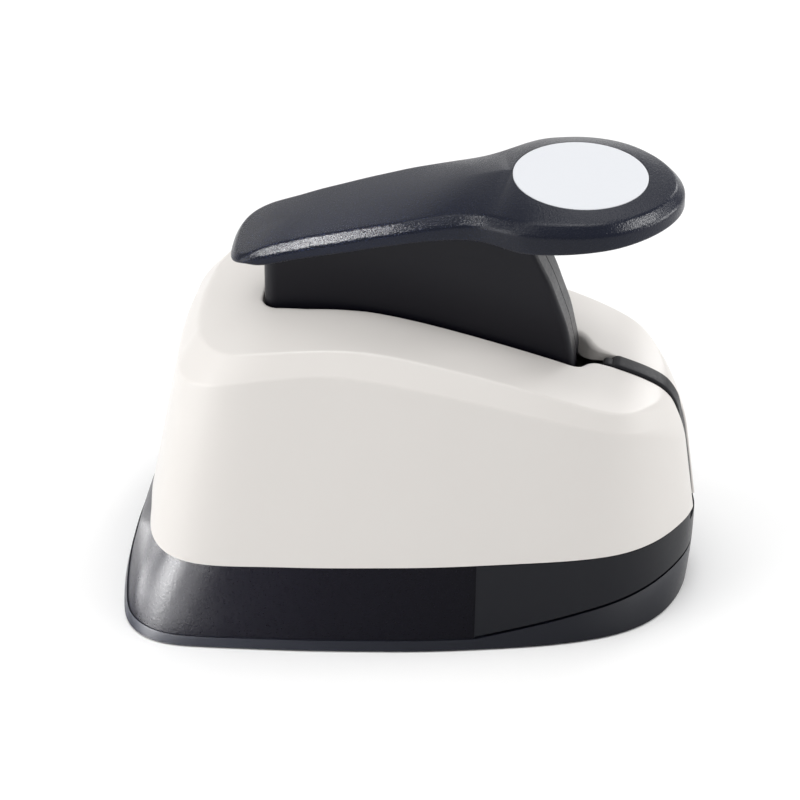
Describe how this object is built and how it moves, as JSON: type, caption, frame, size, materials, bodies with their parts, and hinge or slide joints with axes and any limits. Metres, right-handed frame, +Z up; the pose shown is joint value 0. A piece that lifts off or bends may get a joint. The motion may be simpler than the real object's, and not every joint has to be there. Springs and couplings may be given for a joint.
{
  "type": "circle craft punch",
  "caption": "Desk punch that cuts a paper disc: a drafted shell on a dark base, a broad lever pad on a fin, a lock bar down the nose and a slot under it for the sheet.",
  "frame": {"origin": "centre of the part's footprint, at desk level", "axes": "+X to the front, where the punch and the paper slot are; +Y to the left, along the lever's pivot; +Z up"},
  "size_m": [0.1296, 0.0849, 0.1037],
  "materials": {
    "cream": "smooth satin",
    "black_moulding": "fine spark-eroded",
    "black_gloss": "smooth",
    "fin_black": "smooth satin",
    "handle_grey": "fine spark-eroded",
    "disc_white": "satin",
    "bar_grey": "satin",
    "carrier_nylon": "natural nylon",
    "bush_nylon": "natural nylon",
    "foot_rubber": "matt",
    "sheet_steel": "zinc plated sheet",
    "die_steel": "ground",
    "pin_steel": "drawn and polished",
    "spring_steel": "bright wire",
    "zinc": "zinc plated"
  },
  "bodies": {
    "frame": {"bottom_plate": "black_gloss", "base_skirt": "black_moulding", "front_housing": "black_gloss", "cover_shell": "cream", "rubber_feet": "foot_rubber", "base_screws": "zinc", "cover_screws": "zinc", "housing_screws": "zinc", "die_plate": "die_steel", "die_screws": "zinc", "guide_plate": "die_steel", "guide_screws": "zinc", "guide_posts": "pin_steel", "chassis_left": "sheet_steel", "chassis_right": "sheet_steel", "chassis_spacers": "sheet_steel", "chassis_screws": "zinc", "lever_pivot_pin": "pin_steel", "press_pivot_pin": "pin_steel", "retaining_clips": "zinc", "lever_bushes": "bush_nylon", "press_bushes": "bush_nylon", "spring_seat": "black_moulding", "return_spring": "spring_steel", "lifter_springs": "spring_steel"},
    "lever": {"lever_handle": "handle_grey", "fin_right": "fin_black", "fin_left": "fin_black", "lever_core": "sheet_steel", "press_dowel": "pin_steel", "lever_screws": "zinc", "handle_screws": "zinc", "handle_disc": "disc_white"},
    "press": {"press_lever": "sheet_steel"},
    "punch": {"punch_carrier": "carrier_nylon", "punch_cutter": "die_steel", "cutter_screws": "zinc"},
    "lock": {"lock_bar": "bar_grey"}
  },
  "joints": [
    {"name": "lever_hinge", "type": "hinge", "parent": "frame", "child": "lever", "pos_m": [-0.032, 0, 0.057], "axis": [0, 1, 0], "range_deg": [0, 18], "stiffness_Nm_per_rad": 1.2, "springref_deg": -14.32},
    {"name": "press_hinge", "type": "hinge", "parent": "frame", "child": "press", "pos_m": [0.055, 0, 0.029], "axis": [0, 1, 0], "range_deg": [-13, 0], "deforming": ["return_spring"]},
    {"name": "punch_slide", "type": "slide", "parent": "frame", "child": "punch", "axis": [0.1633, 0, -0.9866], "range_m": [0, 0.0039], "deforming": ["lifter_springs"]},
    {"name": "lock_slide", "type": "slide", "parent": "frame", "child": "lock", "axis": [-0.9703, 0, 0.2419], "range_m": [0, 0.004]}
  ],
  "couplings": [
    {"joint": "press_hinge", "follows": "lever_hinge", "ratio": -0.72222},
    {"joint": "punch_slide", "follows": "lever_hinge", "m_per_rad": 0.012335}
  ]
}
